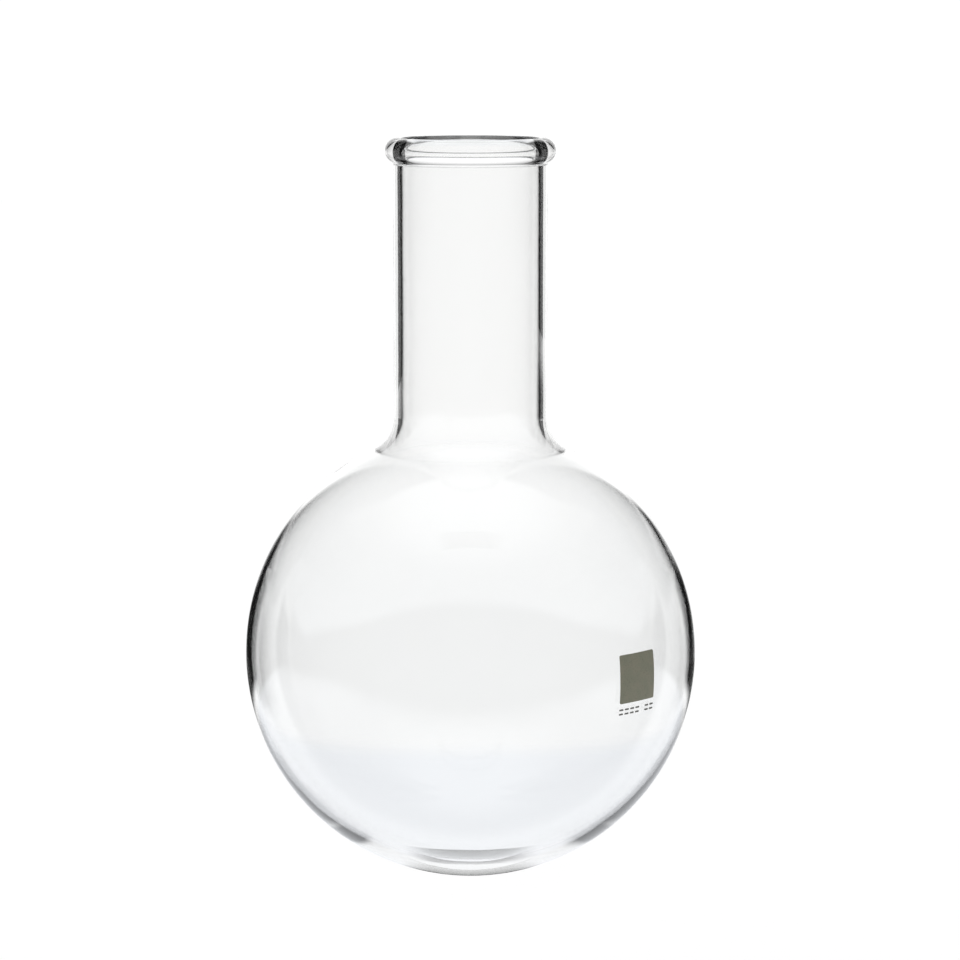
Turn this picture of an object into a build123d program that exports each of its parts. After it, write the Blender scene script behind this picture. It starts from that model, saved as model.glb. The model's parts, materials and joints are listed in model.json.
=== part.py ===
from build123d import *

import os
from math import atan2, degrees, pi, sqrt

# Round bottom flask, narrow neck, 500 ml class, borosilicate glass.
# Millimetres, +Z up. The origin is the lowest point of the bulb and the flask's axis is Z.
# The printed marks sit on the right of the front, which faces -Y.

# Driving dimensions
bulb_diameter = 105.0  # outside
bulb_wall = 1.2  # from the equator up to the shoulder
base_wall = 2.6  # at the lowest point, where the blown glass settles thicker
overall_height = 172.0  # lowest point of the bulb to the top of the rim
neck_diameter = 35.5  # outside
neck_wall = 2.0
shoulder_radius = 8.3  # outside blend between neck and bulb
bead_section = 5.9  # diameter of the round rim bead's own section
bead_reach = 1.9  # how far the bead stands out from the neck
bead_root_radius = 0.8  # outside blend under the bead
mouth_rounding = 0.8  # fire-polished inner edge of the mouth
enamel = 0.15  # thickness of the fired print
patch_width = 11.2  # round the bulb
patch_height = 11.0
patch_corner = 0.4
mark_azimuth = 45.4  # middle of the print, in degrees to the right of the front
patch_rise = 1.1  # middle of the patch above the bulb's equator
dash_groups = (4, 2)  # dashes in each group of the line under the patch
dash_width = 1.2
dash_stroke = 0.4
dash_rows = 2
dash_row_pitch = 1.0  # from one row of dashes to the next
dash_gap = 0.5  # between dashes of one group
print_gap = 1.2  # from the patch down to the first row of dashes

# Derived sizes
bulb_radius = bulb_diameter / 2
cavity_radius = bulb_radius - bulb_wall
equator = bulb_radius
neck_radius = neck_diameter / 2
bore_radius = neck_radius - neck_wall
cavity_blend = shoulder_radius + (neck_wall + bulb_wall) / 2


def blend_centre(tube_radius, ball_radius, blend_radius):
    """Centre of the arc that blends a tube into a ball standing on the same axis."""
    across = tube_radius + blend_radius
    return across, equator + sqrt((ball_radius + blend_radius) ** 2 - across**2)


outer_blend = blend_centre(neck_radius, bulb_radius, shoulder_radius)
inner_blend = blend_centre(bore_radius, cavity_radius, cavity_blend)
outer_lean = degrees(atan2(outer_blend[1] - equator, outer_blend[0]))
inner_lean = degrees(atan2(inner_blend[1] - equator, inner_blend[0]))
neck_collar = neck_wall / 2  # short straight length left on the shoulder below the neck
neck_start = max(outer_blend[1], inner_blend[1]) + neck_collar

bead_radius = bead_section / 2
bead_centre = neck_radius + bead_reach - bead_radius
bead_middle = overall_height - bead_radius
root_across = neck_radius + bead_root_radius - bead_centre
root_drop = sqrt((bead_radius + bead_root_radius) ** 2 - root_across**2)
root_lean = degrees(atan2(root_drop, root_across))
lip_across = bore_radius + mouth_rounding - bead_centre
lip_rise = sqrt((bead_radius - mouth_rounding) ** 2 - lip_across**2)
lip_lean = degrees(atan2(lip_rise, lip_across))
neck_end = bead_middle - root_drop


def print_plane(offset):
    """Upright half plane through the axis, offset mm round the bulb from the middle of the print."""
    turn = mark_azimuth + degrees(offset / bulb_radius) - 90
    return Plane.XZ.rotated((0, 0, turn))


def enamel_band(plane, rise, height):
    """Section of the print on the bulb's outside, centred on a height above the equator."""
    with BuildSketch(plane) as band:
        with Locations((0, equator)):
            Circle(bulb_radius + enamel)
            Circle(bulb_radius, mode=Mode.SUBTRACT)
        with Locations((bulb_radius, equator + rise)):
            Rectangle(bulb_radius, height, mode=Mode.INTERSECT)
    return band.sketch


# Bulb: a blown sphere whose inside is a half ellipse below the equator
with BuildPart() as bulb:
    with BuildSketch(Plane.XZ):
        with BuildLine():
            outside = CenterArc((0, equator), bulb_radius, -90, 90 + outer_lean)
            inside = CenterArc((0, equator), cavity_radius, 0, inner_lean)
            Line(outside @ 1, inside @ 1)
            floor_curve = EllipticalCenterArc(
                (0, equator), cavity_radius, bulb_radius - base_wall, start_angle=-90, arc_size=90
            )
            Line(floor_curve @ 0, outside @ 0)
        make_face()
    revolve(axis=Axis.Z)
bulb.part.label = "bulb"

# Shoulder: the flared glass between the bulb and the straight neck
with BuildPart() as shoulder:
    with BuildSketch(Plane.XZ):
        with BuildLine():
            outside = CenterArc(outer_blend, shoulder_radius, 180, outer_lean)
            inside = CenterArc(inner_blend, cavity_blend, 180, inner_lean)
            Line(outside @ 1, inside @ 1)
            Polyline(
                outside @ 0,
                (neck_radius, neck_start),
                (bore_radius, neck_start),
                inside @ 0,
            )
        make_face()
    revolve(axis=Axis.Z)
shoulder.part.label = "shoulder"

# Neck: a straight tube
with BuildPart() as neck:
    with BuildSketch(Plane.XY.offset(neck_start)):
        Circle(neck_radius)
        Circle(bore_radius, mode=Mode.SUBTRACT)
    extrude(amount=neck_end - neck_start)
neck.part.label = "neck"

# Rim bead: a round thickened ring around the mouth
with BuildPart() as rim_bead:
    with BuildSketch(Plane.XZ):
        with BuildLine():
            root = CenterArc(
                (bead_centre + root_across, neck_end), bead_root_radius, 180, -root_lean
            )
            round_side = CenterArc(
                (bead_centre, bead_middle), bead_radius, -root_lean, root_lean + lip_lean
            )
            lip = CenterArc(
                (bead_centre + lip_across, bead_middle + lip_rise), mouth_rounding, lip_lean, 180 - lip_lean
            )
            Polyline(lip @ 1, (bore_radius, neck_end), root @ 0)
        make_face()
    revolve(axis=Axis.Z)
rim_bead.part.label = "rim_bead"

# Marking patch: a square of fired enamel for pencil notes
with BuildPart() as marking_patch:
    add(enamel_band(print_plane(-patch_width / 2), patch_rise, patch_height))
    revolve(axis=Axis.Z, revolution_arc=degrees(patch_width / bulb_radius))
    fillet(edges().group_by(SortBy.LENGTH)[0], patch_corner)
marking_patch.part.label = "marking_patch"

# Print line: rows of plain dashes under the patch, as wide as the patch
dash_count = sum(dash_groups)
group_gap = patch_width - dash_count * dash_width - (dash_count - len(dash_groups)) * dash_gap
first_row = patch_rise - patch_height / 2 - print_gap - dash_stroke / 2
with BuildPart() as print_line:
    for row in range(dash_rows):
        start = -patch_width / 2
        for dashes in dash_groups:
            for _ in range(dashes):
                add(enamel_band(print_plane(start), first_row - row * dash_row_pitch, dash_stroke))
                start += dash_width + dash_gap
            start += group_gap - dash_gap
    revolve(axis=Axis.Z, revolution_arc=degrees(dash_width / bulb_radius))
print_line.part.label = "print_line"

capacity = 2 / 3 * pi * cavity_radius**3 + 2 / 3 * pi * cavity_radius**2 * (bulb_radius - base_wall)
print(f"bulb capacity about {capacity / 1000:.0f} ml")

os.makedirs("parts", exist_ok=True)
for piece in (bulb, shoulder, neck, rim_bead, marking_patch, print_line):
    export_step(piece.part, f"parts/{piece.part.label}.step")
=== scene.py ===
"""Round bottom flask: clear blown glass, a fired print, a pale floor and soft studio light."""

import json
from math import acos, asin, atan2, cos, hypot, pi, radians, sin, sqrt

import bpy
from bpy.props import FloatProperty, FloatVectorProperty, IntProperty, PointerProperty
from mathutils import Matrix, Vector, noise


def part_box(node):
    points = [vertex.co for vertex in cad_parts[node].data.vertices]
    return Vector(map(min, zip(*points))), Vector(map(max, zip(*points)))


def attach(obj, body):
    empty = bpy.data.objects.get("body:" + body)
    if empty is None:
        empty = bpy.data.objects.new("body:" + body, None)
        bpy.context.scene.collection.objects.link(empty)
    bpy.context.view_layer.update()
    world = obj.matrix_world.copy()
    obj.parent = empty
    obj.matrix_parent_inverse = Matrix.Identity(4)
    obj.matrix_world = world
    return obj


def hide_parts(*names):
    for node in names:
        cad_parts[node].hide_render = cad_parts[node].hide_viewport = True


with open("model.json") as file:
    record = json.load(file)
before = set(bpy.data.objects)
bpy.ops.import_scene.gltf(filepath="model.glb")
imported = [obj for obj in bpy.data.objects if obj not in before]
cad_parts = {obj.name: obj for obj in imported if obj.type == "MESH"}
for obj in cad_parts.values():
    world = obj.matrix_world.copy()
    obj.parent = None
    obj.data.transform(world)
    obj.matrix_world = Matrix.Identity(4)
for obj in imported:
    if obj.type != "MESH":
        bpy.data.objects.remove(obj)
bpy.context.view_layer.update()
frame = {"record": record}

bl_info = {
    "name": "Round Bottom Flask",
    "version": (1, 0, 0),
    "blender": (4, 5, 0),
    "location": "View3D > Sidebar > Flask",
    "description": "Blows a round bottom flask, fires its print and lights it like studio glassware",
    "category": "Add Mesh",
}

BULB_LOW, BULB_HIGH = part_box("bulb")
NECK_LOW, NECK_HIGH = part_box("neck")
BEAD_LOW, BEAD_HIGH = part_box("rim_bead")
PATCH_LOW, PATCH_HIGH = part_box("marking_patch")
PRINT_LOW, PRINT_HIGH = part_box("print_line")
CAD_ENAMEL = 0.00015
PRINT_START = acos(-PATCH_LOW.y / (BULB_HIGH.x + CAD_ENAMEL))
PRINT_END = asin(PATCH_HIGH.x / (BULB_HIGH.x + CAD_ENAMEL))
DASH_GROUPS = (4, 2)
FLOOR_DROP = 0.0002  # keeps the floor just clear of the ball
LIGHT_BOUNCES = 32  # the thick base guides light through many bounces
BORE = next(m for m in frame["record"]["mounts"] if m["name"] == "mouth")["dims"]["r_mm"] / 1000


def length(name, description, default):
    """A length property in metres."""
    return FloatProperty(
        name=name, description=description, default=default,
        min=0, precision=5, unit="LENGTH", subtype="DISTANCE",
    )


def angle(name, description, degrees):
    """An angle property whose default is given in degrees."""
    return FloatProperty(
        name=name, description=description, default=radians(degrees), unit="ROTATION", subtype="ANGLE"
    )


def colour(name, description, default):
    """A linear colour property."""
    return FloatVectorProperty(
        name=name, description=description, default=default, size=4, min=0, max=1, subtype="COLOR"
    )


class FlaskGlass(bpy.types.PropertyGroup):
    """Sizes and finish of the blown glass."""

    bulb_radius: length("Bulb radius", "Outside radius of the ball", BULB_HIGH.x)
    bulb_wall: length("Bulb wall", "Glass thickness from the equator up", 0.0012)
    base_wall: length("Base wall", "Glass thickness at the lowest point", 0.0026)
    neck_radius: length("Neck radius", "Outside radius of the straight neck", NECK_HIGH.x)
    bore_radius: length("Bore radius", "Inside radius of the neck", BORE)
    shoulder_radius: length("Shoulder radius", "Outside blend between neck and ball", 0.0083)
    bead_radius: length("Bead radius", "Radius of the rim bead's round section", 0.00295)
    bead_root: length("Bead root", "Outside blend under the bead", 0.0008)
    mouth_rounding: length("Mouth rounding", "Fire-polished inner edge of the mouth", 0.0008)
    segments: IntProperty(name="Segments", description="Faces round the flask", default=256, min=32)
    ior: FloatProperty(
        name="IOR", description="Refractive index of borosilicate glass", default=1.474, min=1
    )
    wave_length: length("Wave length", "Spacing of the slight waves of blown glass", 0.016)
    wave_height: length("Wave height", "Height of those waves", 0.00004)
    tint: colour("Tint", "Colour that each surface lets through", (0.991, 0.993, 0.99, 1))


class FlaskPrint(bpy.types.PropertyGroup):
    """Sizes and colours of the fired enamel."""

    thickness: length("Thickness", "Height of the enamel above the glass", 0.00014)
    sunk: length("Sunk", "How far the enamel reaches into the glass", 0.00002)
    edge: length("Edge", "Rounding of the enamel's upper edge", 0.0001)
    ragged: length("Ragged", "How far the printed outline wanders", 0.00004)
    patch_corner: length("Patch corner", "Rounded corner of the marking patch", 0.0004)
    dash_width: length("Dash width", "Length of one dash round the ball", 0.0012)
    dash_stroke: length("Dash stroke", "Height of one dash", 0.0004)
    dash_gap: length("Dash gap", "Space between dashes of one group", 0.0005)
    dash_corner: length("Dash corner", "Rounded corner of one dash", 0.00015)
    patch_colour: colour("Patch colour", "Main colour of the marking patch", (0.150, 0.153, 0.108, 1))
    patch_cloud: colour("Patch cloud", "Second colour mottled into the patch", (0.166, 0.160, 0.115, 1))
    print_colour: colour("Print colour", "Colour of the dashes under the patch", (0.12, 0.12, 0.11, 1))


class FlaskStudio(bpy.types.PropertyGroup):
    """Camera, floor and lights."""

    lens: FloatProperty(name="Lens", description="Focal length in millimetres", default=120.47, min=1)
    camera_distance: length("Camera distance", "From the ball's centre to the camera", 0.754)
    camera_rise: angle("Camera rise", "Height of the camera above the ball's centre, as an angle", 11.09)
    target_height: length("Target height", "Height of the point at the view's centre", 0.09275)
    target_side: FloatProperty(
        name="Target side", description="How far that point is to the right of the axis", default=0.0022,
        precision=5, unit="LENGTH", subtype="DISTANCE",
    )
    floor_radius: length("Floor radius", "Radius of the pale floor", 3.0)
    floor_colour: colour("Floor colour", "Colour of the floor", (0.95, 0.95, 0.95, 1))
    backdrop_strength: FloatProperty(
        name="Backdrop strength", description="Brightness of the white backdrop", default=1.06, min=0
    )
    tent_strength: FloatProperty(
        name="Tent strength", description="Brightness of the tent that the glass shows", default=1.08, min=0
    )
    tent_radius: length("Tent radius", "Radius of that tent", 2.0)


def arc(centre, radius, start, sweep, steps):
    """Points and outward normals of an arc; a clockwise sweep is hollow, with normals to its centre."""
    side = 1 if sweep > 0 else -1
    turns = [start + sweep * i / steps for i in range(steps + 1)]
    return [
        (centre[0] + radius * cos(t), centre[1] + radius * sin(t), side * cos(t), side * sin(t))
        for t in turns
    ]


def run(begin, end, steps=1):
    """Points and outward normals of a straight line, with the glass on its left."""
    across, up = end[0] - begin[0], end[1] - begin[1]
    size = hypot(across, up)
    return [
        (begin[0] + across * i / steps, begin[1] + up * i / steps, up / size, -across / size)
        for i in range(steps + 1)
    ]


def cup(centre_height, radius, depth, steps):
    """Points and normals of the inside of a half ellipse, from its rim to its lowest point."""
    points = []
    for i in range(steps + 1):
        t = -pi / 2 * i / steps
        size = hypot(cos(t) / radius, sin(t) / depth)
        normal = (-cos(t) / radius / size, -sin(t) / depth / size)
        points.append((radius * cos(t), centre_height + depth * sin(t), *normal))
    return points


def lathe(name, section, segments):
    """A closed mesh turned from (points, slot) stretches, with exact normals at every corner."""
    on_axis = 1e-9
    same_place = 1e-7
    verts, faces, corners, slots = [], [], [], []

    def ring(point):
        if point[0] < on_axis:
            verts.append((0, 0, point[1]))
            return [len(verts) - 1] * segments
        first = len(verts)
        for j in range(segments):
            turn = 2 * pi * j / segments
            verts.append((point[0] * cos(turn), point[0] * sin(turn), point[1]))
        return list(range(first, first + segments))

    start = section[0][0][0]
    first_ring = ring(start)
    below = first_ring
    for number, (points, slot) in enumerate(section):
        for i in range(1, len(points)):
            low, high = points[i - 1], points[i]
            closing = number == len(section) - 1 and i == len(points) - 1
            back = closing and hypot(high[0] - start[0], high[1] - start[1]) < same_place
            above = first_ring if back else ring(high)
            for j in range(segments):
                k = (j + 1) % segments
                quad = [(below[j], low, j), (below[k], low, k), (above[k], high, k), (above[j], high, j)]
                if below[j] == below[k]:
                    del quad[1]
                if above[j] == above[k]:
                    del quad[2]
                faces.append([v for v, _, _ in quad])
                slots.append(slot)
                for _, point, step in quad:
                    turn = 2 * pi * step / segments
                    corners.append((point[2] * cos(turn), point[2] * sin(turn), point[3]))
            below = above

    mesh = bpy.data.meshes.new(name)
    mesh.from_pydata(verts, [], faces)
    mesh.polygons.foreach_set("material_index", slots)
    mesh.polygons.foreach_set("use_smooth", [True] * len(faces))
    mesh.normals_split_custom_set(corners)
    mesh.update()
    piece = bpy.data.objects.new(name, mesh)
    bpy.context.scene.collection.objects.link(piece)
    return piece


def blend_centre(tube_radius, ball_radius, blend_radius, equator):
    """Centre of the arc that blends a tube into a ball on the same axis, and its lean in radians."""
    across = tube_radius + blend_radius
    rise = sqrt((ball_radius + blend_radius) ** 2 - across**2)
    return (across, equator + rise), atan2(rise, across)


GLASS, JOINT = 0, 1


class Outline:
    """The flask's section worked out from its sizes."""

    def __init__(self, glass):
        self.g = glass
        self.equator = glass.bulb_radius
        self.cavity = glass.bulb_radius - glass.bulb_wall
        neck_wall = glass.neck_radius - glass.bore_radius
        self.cavity_blend = glass.shoulder_radius + (neck_wall + glass.bulb_wall) / 2
        self.outer, self.outer_lean = blend_centre(
            glass.neck_radius, glass.bulb_radius, glass.shoulder_radius, self.equator
        )
        self.inner, self.inner_lean = blend_centre(
            glass.bore_radius, self.cavity, self.cavity_blend, self.equator
        )
        self.neck_start = NECK_LOW.z
        self.neck_end = NECK_HIGH.z

    def bulb(self):
        g = self.g
        outside = arc((0, self.equator), g.bulb_radius, -pi / 2, pi / 2 + self.outer_lean, steps=104)
        inside = arc((0, self.equator), self.cavity, self.inner_lean, -self.inner_lean, steps=44)
        base = cup(self.equator, self.cavity, g.bulb_radius - g.base_wall, steps=60)
        return [
            (outside, GLASS),
            (run(outside[-1], inside[0]), JOINT),
            (inside, GLASS),
            (base, GLASS),
        ]

    def shoulder(self):
        g = self.g
        outside = arc(self.outer, g.shoulder_radius, pi + self.outer_lean, -self.outer_lean, steps=36)
        inside = arc(self.inner, self.cavity_blend, pi, self.inner_lean, steps=36)
        outer_top, inner_top = (g.neck_radius, self.neck_start), (g.bore_radius, self.neck_start)
        return [
            (outside, GLASS),
            (run(outside[-1], outer_top), GLASS),
            (run(outer_top, inner_top), JOINT),
            (run(inner_top, inside[0]), GLASS),
            (inside, GLASS),
            (run(inside[-1], outside[0]), JOINT),
        ]

    def neck(self):
        g = self.g
        low_out, low_in = (g.neck_radius, self.neck_start), (g.bore_radius, self.neck_start)
        high_out, high_in = (g.neck_radius, self.neck_end), (g.bore_radius, self.neck_end)
        return [
            (run(low_out, high_out, steps=40), GLASS),
            (run(high_out, high_in), JOINT),
            (run(high_in, low_in, steps=40), GLASS),
            (run(low_in, low_out), JOINT),
        ]

    def rim_bead(self):
        g = self.g
        middle = BEAD_HIGH.z - g.bead_radius
        centre = BEAD_HIGH.x - g.bead_radius
        across = g.neck_radius + g.bead_root - centre
        drop = sqrt((g.bead_radius + g.bead_root) ** 2 - across**2)
        root_lean = atan2(drop, across)
        lip_across = g.bore_radius + g.mouth_rounding - centre
        lip_rise = sqrt((g.bead_radius - g.mouth_rounding) ** 2 - lip_across**2)
        lip_lean = atan2(lip_rise, lip_across)
        root = arc((centre + across, middle - drop), g.bead_root, pi, -root_lean, steps=12)
        side = arc((centre, middle), g.bead_radius, -root_lean, root_lean + lip_lean, steps=60)
        lip_centre = (centre + lip_across, middle + lip_rise)
        lip = arc(lip_centre, g.mouth_rounding, lip_lean, pi - lip_lean, steps=16)
        low_in = (g.bore_radius, middle - drop)
        return [
            (root, GLASS),
            (side, GLASS),
            (lip, GLASS),
            (run(lip[-1], low_in, steps=4), GLASS),
            (run(low_in, root[0]), JOINT),
        ]


def add_node(tree, kind, **values):
    """A shader node with its attributes set."""
    node = tree.nodes.new(kind)
    for key, value in values.items():
        setattr(node, key, value)
    return node


def new_material(name):
    """An empty node material and its output node."""
    material = bpy.data.materials.new(name)
    material.use_nodes = True
    tree = material.node_tree
    tree.nodes.clear()
    return material, tree, add_node(tree, "ShaderNodeOutputMaterial")


def ramp_up(tree, value, low, high):
    """A factor that rises smoothly from 0 to 1 while the value goes from low to high."""
    rise = add_node(tree, "ShaderNodeMapRange", interpolation_type="SMOOTHSTEP")
    rise.inputs["From Min"].default_value = low
    rise.inputs["From Max"].default_value = high
    tree.links.new(value, rise.inputs["Value"])
    return rise.outputs[0]


def times(tree, first, second):
    """The product of two factors."""
    product = add_node(tree, "ShaderNodeMath", operation="MULTIPLY")
    tree.links.new(first, product.inputs[0])
    tree.links.new(second, product.inputs[1])
    return product.outputs[0]


def clear_glass():
    """Clear borosilicate glass whose surface has the slight waves of blown work."""
    if "clear_glass" in bpy.data.materials:
        return bpy.data.materials["clear_glass"]
    settings = bpy.context.scene.flask_glass
    material, tree, out = new_material("clear_glass")
    shader = add_node(tree, "ShaderNodeBsdfPrincipled")
    shader.inputs["Transmission Weight"].default_value = 1
    shader.inputs["Roughness"].default_value = 0
    shader.inputs["IOR"].default_value = settings.ior
    shader.inputs["Base Color"].default_value = settings.tint
    place = add_node(tree, "ShaderNodeTexCoord")
    waves = add_node(tree, "ShaderNodeTexNoise")
    waves.inputs["Scale"].default_value = 1 / settings.wave_length
    waves.inputs["Detail"].default_value = 1
    bump = add_node(tree, "ShaderNodeBump")
    bump.inputs["Distance"].default_value = settings.wave_height
    tree.links.new(place.outputs["Object"], waves.inputs["Vector"])
    tree.links.new(waves.outputs[0], bump.inputs["Height"])
    tree.links.new(bump.outputs[0], shader.inputs["Normal"])
    tree.links.new(shader.outputs[0], out.inputs["Surface"])
    return material


def joint_glass():
    """Lets light straight on where two pieces of the same glass are fused."""
    if "fused_joint" in bpy.data.materials:
        return bpy.data.materials["fused_joint"]
    material, tree, out = new_material("fused_joint")
    tree.links.new(add_node(tree, "ShaderNodeBsdfTransparent").outputs[0], out.inputs["Surface"])
    return material


def enamel(name, main, cloud):
    """Fired enamel: matt, softly mottled, with a fine speckle and a dry grain."""
    grain_height, roughness = 0.00002, 0.55
    speckle = (*(0.6 * level for level in main[:3]), 1)
    material, tree, out = new_material(name)
    shader = add_node(tree, "ShaderNodeBsdfPrincipled")
    place = add_node(tree, "ShaderNodeTexCoord")
    shades = main
    # Each layer: noise cells per metre, detail, the levels where it starts and fills, and its colour
    layers = ((520, 3, 0.35, 0.65, cloud), (3800, 2, 0.52, 0.80, speckle))
    for scale, detail, low, high, over in layers:
        mottle = add_node(tree, "ShaderNodeTexNoise")
        mottle.inputs["Scale"].default_value = scale
        mottle.inputs["Detail"].default_value = detail
        tree.links.new(place.outputs["Object"], mottle.inputs["Vector"])
        mix = add_node(tree, "ShaderNodeMix", data_type="RGBA")
        tree.links.new(ramp_up(tree, mottle.outputs[0], low, high), mix.inputs[0])
        if shades is main:
            mix.inputs[6].default_value = main
        else:
            tree.links.new(shades, mix.inputs[6])
        mix.inputs[7].default_value = over
        shades = mix.outputs[2]
    tree.links.new(shades, shader.inputs["Base Color"])
    bump = add_node(tree, "ShaderNodeBump")
    bump.inputs["Distance"].default_value = grain_height
    tree.links.new(mottle.outputs[0], bump.inputs["Height"])
    tree.links.new(bump.outputs[0], shader.inputs["Normal"])
    shader.inputs["Roughness"].default_value = roughness
    tree.links.new(shader.outputs[0], out.inputs["Surface"])
    return material


def rounded_outline(width, height, corner, inset, corner_steps=5, side_steps=6):
    """Points of a rounded rectangle centred on zero, drawn in by an inset."""
    half_w, half_h = width / 2 - inset, height / 2 - inset
    radius = max(corner - inset, corner / 4)
    points = []
    for number, (side, up) in enumerate(((1, 1), (-1, 1), (-1, -1), (1, -1))):
        for i in range(corner_steps + 1):
            turn = pi / 2 * (number + i / corner_steps)
            x = side * (half_w - radius) + radius * cos(turn)
            y = up * (half_h - radius) + radius * sin(turn)
            points.append((x, y))
        next_x, next_y = (-x, y) if number % 2 == 0 else (x, -y)
        for i in range(1, side_steps):
            points.append((x + (next_x - x) * i / side_steps, y + (next_y - y) * i / side_steps))
    return points


def fired_tile(verts, faces, azimuth, height, size, corner):
    """Adds one closed tile of enamel, wrapped on the ball at an azimuth and a height."""
    p = bpy.context.scene.flask_print
    radius = bpy.context.scene.flask_glass.bulb_radius
    round_steps, fill_steps = 4, 10
    ripples = 1500  # how fast the outline wanders, in noise cells per metre
    spread = 700  # keeps neighbouring tiles from wandering alike

    def wrap(across, up, lift):
        z = height + up
        shrink = sqrt((radius + lift) ** 2 - (z - radius) ** 2)
        turn = azimuth + across / radius
        return shrink * sin(turn), -shrink * cos(turn), z

    full = rounded_outline(*size, corner, 0)
    wander = [
        p.ragged * noise.noise(Vector((azimuth * spread + x * ripples, height * ripples, y * ripples)))
        for x, y in full
    ]
    rings = [(0, 1, -p.sunk)]
    for i in range(round_steps + 1):
        lean = pi / 2 * i / round_steps
        rings.append((p.edge * (1 - cos(lean)), 1, p.thickness - p.edge + p.edge * sin(lean)))
    rings += [(p.edge, 1 - i / fill_steps, p.thickness) for i in range(1, fill_steps)]
    starts = []
    for inset, scale, lift in rings:
        starts.append(len(verts))
        for (x, y), shift in zip(rounded_outline(*size, corner, inset), wander):
            grow = 1 + shift / hypot(x, y)
            verts.append(wrap(x * scale * grow, y * scale * grow, lift))
    count = len(full)
    for low, high in zip(starts, starts[1:]):
        for i in range(count):
            k = (i + 1) % count
            faces.append((low + i, low + k, high + k, high + i))
    top = len(verts)
    verts.append(wrap(0, 0, p.thickness))
    faces.extend((starts[-1] + i, starts[-1] + (i + 1) % count, top) for i in range(count))
    under = len(verts)
    verts.append(wrap(0, 0, -p.sunk))
    faces.extend((starts[0] + (i + 1) % count, starts[0] + i, under) for i in range(count))


def make_print(name, node, tiles, material):
    """One piece of fired print made of tiles (azimuth, height, size, corner)."""
    verts, faces = [], []
    for tile in tiles:
        fired_tile(verts, faces, *tile)
    mesh = bpy.data.meshes.new(name)
    mesh.from_pydata(verts, [], faces)
    mesh.polygons.foreach_set("use_smooth", [True] * len(faces))
    mesh.materials.append(material)
    piece = bpy.data.objects.new(name, mesh)
    bpy.context.scene.collection.objects.link(piece)
    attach(piece, "root")
    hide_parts(node)


def make_glass(name):
    """Turns one piece of the flask and puts it on its node."""
    settings = bpy.context.scene.flask_glass
    section = getattr(Outline(settings), name)()
    piece = lathe("glass_" + name, section, settings.segments)
    piece.data.materials.append(clear_glass())
    piece.data.materials.append(joint_glass())
    piece.visible_diffuse = False
    piece.visible_shadow = False
    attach(piece, "root")
    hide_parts(name)
    return {"FINISHED"}


class FLASK_OT_bulb(bpy.types.Operator):
    """Blow the ball"""

    bl_idname = "flask.bulb"
    bl_label = "Bulb"

    def execute(self, context):
        return make_glass("bulb")


class FLASK_OT_shoulder(bpy.types.Operator):
    """Flare the glass between ball and neck"""

    bl_idname = "flask.shoulder"
    bl_label = "Shoulder"

    def execute(self, context):
        return make_glass("shoulder")


class FLASK_OT_neck(bpy.types.Operator):
    """Draw the straight neck"""

    bl_idname = "flask.neck"
    bl_label = "Neck"

    def execute(self, context):
        return make_glass("neck")


class FLASK_OT_rim_bead(bpy.types.Operator):
    """Roll the round bead at the mouth"""

    bl_idname = "flask.rim_bead"
    bl_label = "Rim bead"

    def execute(self, context):
        return make_glass("rim_bead")


class FLASK_OT_print(bpy.types.Operator):
    """Fire the marking patch and the dashes under it"""

    bl_idname = "flask.print"
    bl_label = "Fired print"

    def execute(self, context):
        p = context.scene.flask_print
        radius = context.scene.flask_glass.bulb_radius
        width = (PRINT_END - PRINT_START) * radius
        patch = (
            (PRINT_START + PRINT_END) / 2, (PATCH_LOW.z + PATCH_HIGH.z) / 2,
            (width, PATCH_HIGH.z - PATCH_LOW.z), p.patch_corner,
        )
        patch_enamel = enamel("patch_enamel", p.patch_colour, p.patch_cloud)
        make_print("marking_enamel", "marking_patch", [patch], patch_enamel)
        dashes = sum(DASH_GROUPS)
        inner_gaps = dashes - len(DASH_GROUPS)
        group_gap = (width - dashes * p.dash_width - inner_gaps * p.dash_gap) / (len(DASH_GROUPS) - 1)
        dash_size = (p.dash_width, p.dash_stroke)
        tiles = []
        for height in (PRINT_HIGH.z - p.dash_stroke / 2, PRINT_LOW.z + p.dash_stroke / 2):
            reach = p.dash_width / 2
            for group in DASH_GROUPS:
                for _ in range(group):
                    tiles.append((PRINT_START + reach / radius, height, dash_size, p.dash_corner))
                    reach += p.dash_width + p.dash_gap
                reach += group_gap - p.dash_gap
        dash_enamel = enamel("dash_enamel", p.print_colour, p.print_colour)
        make_print("dash_enamel", "print_line", tiles, dash_enamel)
        return {"FINISHED"}


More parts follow.
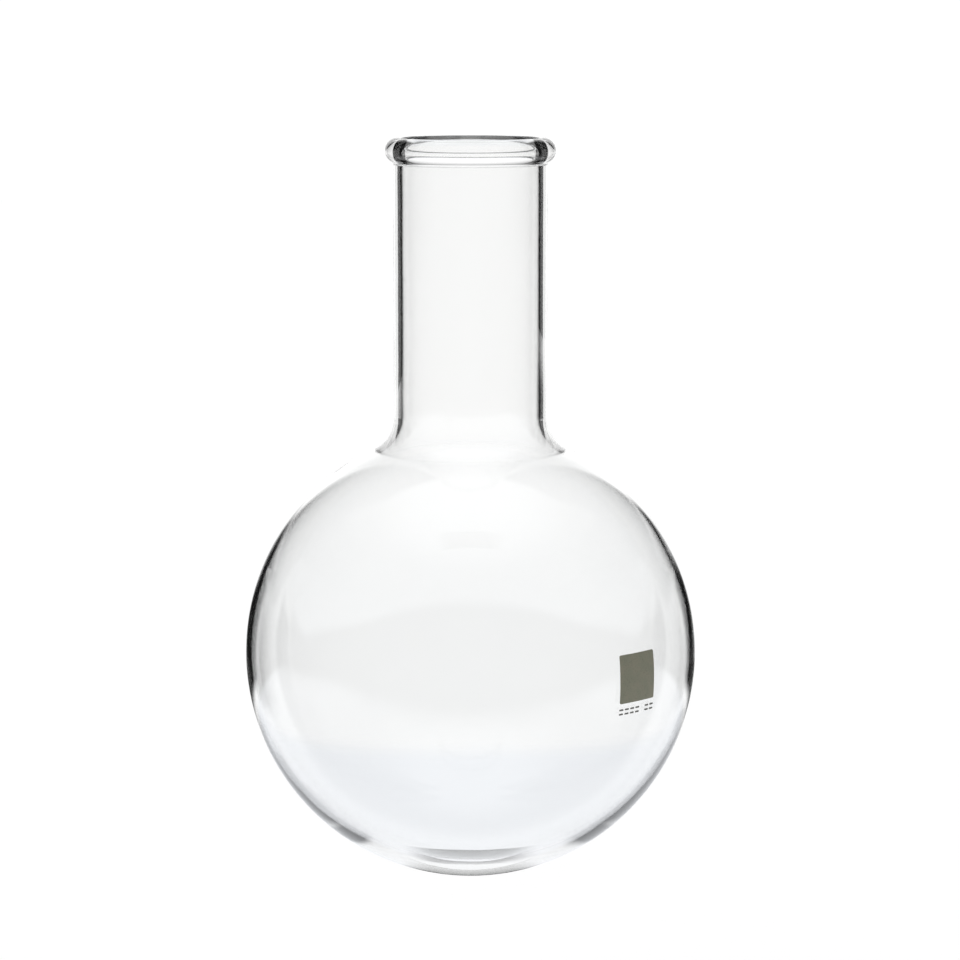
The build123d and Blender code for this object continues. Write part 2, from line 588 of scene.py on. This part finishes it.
class FLASK_OT_studio(bpy.types.Operator):
    """Set the floor, the lights and the camera"""

    bl_idname = "flask.studio"
    bl_label = "Studio"

    def execute(self, context):
        s = context.scene.flask_studio
        centre = Vector((0, 0, context.scene.flask_glass.bulb_radius))
        data = bpy.data.cameras.new("camera")
        data.lens = s.lens
        camera = bpy.data.objects.new("camera", data)
        context.scene.collection.objects.link(camera)
        camera.location = centre + s.camera_distance * Vector((0, -cos(s.camera_rise), sin(s.camera_rise)))
        aim = Vector((s.target_side, 0, s.target_height)) - camera.location
        camera.rotation_euler = aim.to_track_quat("-Z", "Y").to_euler()
        context.scene.camera = camera

        bpy.ops.mesh.primitive_circle_add(
            vertices=96, radius=s.floor_radius, fill_type="NGON", location=(0, 0, -FLOOR_DROP)
        )
        floor = context.object
        floor.name = "floor"
        material, tree, out = new_material("floor_paper")
        shader = add_node(tree, "ShaderNodeBsdfDiffuse")
        shader.inputs["Color"].default_value = s.floor_colour
        tree.links.new(shader.outputs[0], out.inputs["Surface"])
        floor.data.materials.append(material)
        floor.visible_glossy = False
        floor.visible_transmission = False

        world = bpy.data.worlds.new("studio")
        context.scene.world = world
        world.use_nodes = True
        backdrop = world.node_tree.nodes["Background"]
        backdrop.inputs["Color"].default_value = (1, 1, 1, 1)
        backdrop.inputs["Strength"].default_value = s.backdrop_strength

        context.view_layer.update()
        lighting_rig(context, turntable(context, camera))
        context.scene.view_settings.view_transform = "Standard"
        for bounces in ("max_bounces", "transmission_bounces", "glossy_bounces"):
            setattr(context.scene.cycles, bounces, LIGHT_BOUNCES)
        return {"FINISHED"}


def rig_piece(context, base, name, corners, faces, material):
    """A piece of the lighting rig: it shows only in the glass, and stands on the turntable."""
    mesh = bpy.data.meshes.new(name)
    mesh.from_pydata(corners, [], faces)
    mesh.materials.append(material)
    piece = bpy.data.objects.new(name, mesh)
    context.scene.collection.objects.link(piece)
    piece.visible_camera = False
    piece.visible_diffuse = False
    piece.visible_shadow = False
    piece.parent = base


def cards(context, base, name, facing, places, spans, soft, shade):
    """Like cards square to one axis at some places along it, with soft edges on the other two."""
    across = [axis for axis in "XYZ" if axis != facing]
    material, tree, out = new_material(name)
    glow = add_node(tree, "ShaderNodeEmission")
    glow.inputs["Color"].default_value = (*shade, 1)
    split = add_node(tree, "ShaderNodeSeparateXYZ")
    tree.links.new(add_node(tree, "ShaderNodeTexCoord").outputs["Object"], split.inputs[0])
    cover = None
    for axis, (low, high), (low_soft, high_soft) in zip(across, spans, soft):
        for edge, width in ((low, low_soft), (high, -high_soft)):
            if width:
                rise = ramp_up(tree, split.outputs[axis], edge, edge + width)
                cover = times(tree, cover, rise) if cover else rise
    surface = glow.outputs[0]
    if cover:
        mix = add_node(tree, "ShaderNodeMixShader")
        tree.links.new(cover, mix.inputs[0])
        tree.links.new(add_node(tree, "ShaderNodeBsdfTransparent").outputs[0], mix.inputs[1])
        tree.links.new(surface, mix.inputs[2])
        surface = mix.outputs[0]
    tree.links.new(surface, out.inputs["Surface"])
    corners, faces = [], []
    for place in places:
        faces.append(tuple(range(len(corners), len(corners) + 4)))
        for one, other in ((0, 0), (1, 0), (1, 1), (0, 1)):
            point = {facing: place, across[0]: spans[0][one], across[1]: spans[1][other]}
            corners.append((point["X"], point["Y"], point["Z"]))
    rig_piece(context, base, name, corners, faces, material)


def shade_ramp(tree, value, stops):
    """Greys along a value that runs from 0 to 1."""
    ramp = add_node(tree, "ShaderNodeValToRGB")
    spots = ramp.color_ramp.elements
    spots.remove(spots[1])
    for number, (place, grey) in enumerate(stops):
        spot = spots[0] if number == 0 else spots.new(place)
        spot.position = place
        spot.color = (grey, grey, grey, 1)
    tree.links.new(value, ramp.inputs[0])
    return ramp.outputs[0]


def blend(tree, cover, under, over):
    """One colour laid over another by a factor."""
    mix = add_node(tree, "ShaderNodeMix", data_type="RGBA")
    tree.links.new(cover, mix.inputs[0])
    tree.links.new(under, mix.inputs[6])
    mix.inputs[7].default_value = (*over, 1)
    return mix.outputs[2]


def dome(radius, rows=32, columns=64):
    """Corners and faces of a whole sphere."""
    corners, faces = [], []
    for i in range(rows + 1):
        rise = pi * i / rows - pi / 2
        for j in range(columns):
            turn = 2 * pi * j / columns
            corners.append(
                (radius * cos(rise) * cos(turn), radius * cos(rise) * sin(turn), radius * sin(rise))
            )
    for i in range(rows):
        for j in range(columns):
            k = (j + 1) % columns
            faces.append((i * columns + j, i * columns + k, (i + 1) * columns + k, (i + 1) * columns + j))
    return corners, faces


def tent(context, base):
    """The backdrop, the room and the ceiling, as one soft shade that depends on direction."""
    radius = context.scene.flask_studio.tent_radius
    room_shades = ((0, 0.16), (0.5, 0.09), (0.67, 0.14), (0.80, 0.25), (0.88, 0.42), (0.955, 1))
    ceiling_start, ceiling_shade = 0.75 * radius, (0.65, 0.65, 0.65)
    low_start, low_end, low_shade = -0.24 * radius, -0.34 * radius, (0.93, 0.94, 0.95)
    behind_end = 0.3 * radius

    material, tree, out = new_material("tent")
    glow = add_node(tree, "ShaderNodeEmission")
    split = add_node(tree, "ShaderNodeSeparateXYZ")
    tree.links.new(add_node(tree, "ShaderNodeTexCoord").outputs["Object"], split.inputs[0])
    forward = add_node(tree, "ShaderNodeMapRange")
    forward.inputs["From Min"].default_value = -radius
    forward.inputs["From Max"].default_value = radius
    tree.links.new(split.outputs["Y"], forward.inputs["Value"])
    room = shade_ramp(tree, forward.outputs[0], room_shades)
    above = ramp_up(tree, split.outputs["Z"], ceiling_start, radius)
    room = blend(tree, above, room, ceiling_shade)
    behind = ramp_up(tree, split.outputs["Y"], 0, behind_end)
    low = times(tree, behind, ramp_up(tree, split.outputs["Z"], low_start, low_end))
    room = blend(tree, low, room, low_shade)
    tree.links.new(room, glow.inputs["Color"])
    glow.inputs["Strength"].default_value = context.scene.flask_studio.tent_strength
    tree.links.new(glow.outputs[0], out.inputs["Surface"])
    rig_piece(context, base, "tent", *dome(radius), material)


# Side flags behind the flask: the side, the inner and outer edges, the inner edge's fade and the top
LOW_FLAGS = ((-1, "left", 0.058, 0.17, 0.024, 0.098), (1, "right", 0.066, 0.16, 0.018, 0.112))
FLAG_BEHIND = 0.12
FLAG_OUTER_FADE = 0.03
LOW_FLAG_ENDS = (0.012, 0.018)
HIGH_FLAG_INNER, HIGH_FLAG_OUTER, HIGH_FLAG_FADE = 0.077, 0.26, 0.010
HIGH_FLAG_HEIGHTS, HIGH_FLAG_ENDS = (0.074, 0.5), (0.02, 0.05)
# Rim flags stand to each side of the mouth
RIM_FLAG_SIDE = 0.17
RIM_FLAG_SPANS, RIM_FLAG_FADES = ((-0.08, 0.12), (0.125, 0.24)), ((0.03, 0), (0.02, 0.03))
BLACK = (0.008, 0.008, 0.008)
# A low backdrop card keeps the lower half of the ball as light as the upper one
BACKDROP_BEHIND = 0.13
BACKDROP_SPANS, BACKDROP_FADES = ((-0.2, 0.2), (-0.05, 0.085)), ((0.05, 0.05), (0, 0.045))
BACKDROP_SHADE = (1.01, 1.015, 1.02)
# The glass sees this table instead of the floor
TABLE_HEIGHT = -0.001
TABLE_SPANS, TABLE_FADES = ((-0.5, 0.5), (-0.22, 0.125)), ((0.3, 0.3), (0.12, 0.03))
TABLE_SHADE = (0.93, 0.95, 0.985)
# A painted contact shadow: a row of black upright slats under the ball, dark from the side, nothing from
# above
SLAT_START, SLAT_PITCH, SLAT_COUNT = -0.0015, 0.00125, 13
SLAT_SPANS, SLAT_FADES = ((-0.0185, 0.0185), (-0.00095, -0.00002)), ((0.010, 0.010), (0, 0))


def turntable(context, camera):
    """An empty at the flask's lowest point that turns about the axis, so the rig keeps its front to the
    camera.
    """
    base = bpy.data.objects.new("turntable", None)
    context.scene.collection.objects.link(base)
    facing = base.constraints.new("LOCKED_TRACK")
    facing.target = camera
    facing.track_axis = "TRACK_NEGATIVE_Y"
    facing.lock_axis = "LOCK_Z"
    return base


def side_flags(context, base):
    """Dark flags behind and beside the flask, which draw its dark edges."""
    for side, name, low_inner, low_outer, low_fade, low_top in LOW_FLAGS:
        for part, inner, outer, fade, heights, ends in (
            ("low", low_inner, low_outer, low_fade, (0, low_top), LOW_FLAG_ENDS),
            ("high", HIGH_FLAG_INNER, HIGH_FLAG_OUTER, HIGH_FLAG_FADE, HIGH_FLAG_HEIGHTS, HIGH_FLAG_ENDS),
        ):
            reach, fades = (inner, outer), (fade, FLAG_OUTER_FADE)
            if side < 0:
                reach, fades = (-outer, -inner), (FLAG_OUTER_FADE, fade)
            card = f"{name}_{part}_flag"
            cards(context, base, card, "Y", (FLAG_BEHIND,), (reach, heights), (fades, ends), BLACK)
        card, place = f"{name}_rim_flag", side * RIM_FLAG_SIDE
        cards(context, base, card, "X", (place,), RIM_FLAG_SPANS, RIM_FLAG_FADES, BLACK)


def lighting_rig(context, base):
    """Tent, flags, backdrop, table and a painted contact shadow round the flask, seen only through the
    glass.
    """
    tent(context, base)
    side_flags(context, base)
    places = (BACKDROP_BEHIND,)
    cards(context, base, "low_backdrop", "Y", places, BACKDROP_SPANS, BACKDROP_FADES, BACKDROP_SHADE)
    cards(context, base, "table", "Z", (TABLE_HEIGHT,), TABLE_SPANS, TABLE_FADES, TABLE_SHADE)
    # black slats under the ball: a painted contact shadow, seen only through the glass
    slats = tuple(SLAT_START - SLAT_PITCH * i for i in range(SLAT_COUNT))
    cards(context, base, "painted_contact_shadow", "Y", slats, SLAT_SPANS, SLAT_FADES, BLACK)


class FLASK_PT_panel(bpy.types.Panel):
    """Sizes, colours and build steps of the flask"""

    bl_idname = "FLASK_PT_panel"
    bl_label = "Round Bottom Flask"
    bl_space_type = "VIEW_3D"
    bl_region_type = "UI"
    bl_category = "Flask"

    def draw(self, context):
        for group in (context.scene.flask_glass, context.scene.flask_print, context.scene.flask_studio):
            column = self.layout.column()
            for name in group.__annotations__:
                column.prop(group, name)
        for step in STEPS:
            self.layout.operator(step.bl_idname)


GROUPS = {"flask_glass": FlaskGlass, "flask_print": FlaskPrint, "flask_studio": FlaskStudio}
STEPS = (
    FLASK_OT_bulb,
    FLASK_OT_shoulder,
    FLASK_OT_neck,
    FLASK_OT_rim_bead,
    FLASK_OT_print,
    FLASK_OT_studio,
)


def register():
    for cls in (*GROUPS.values(), *STEPS, FLASK_PT_panel):
        bpy.utils.register_class(cls)
    for name, group in GROUPS.items():
        setattr(bpy.types.Scene, name, PointerProperty(type=group))


def unregister():
    for name in GROUPS:
        delattr(bpy.types.Scene, name)
    for cls in reversed((*GROUPS.values(), *STEPS, FLASK_PT_panel)):
        bpy.utils.unregister_class(cls)


def main():
    register()
    bpy.ops.flask.bulb()
    bpy.ops.flask.shoulder()
    bpy.ops.flask.neck()
    bpy.ops.flask.rim_bead()
    bpy.ops.flask.print()
    bpy.ops.flask.studio()
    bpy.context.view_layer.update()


if __name__ == "__main__":
    main()
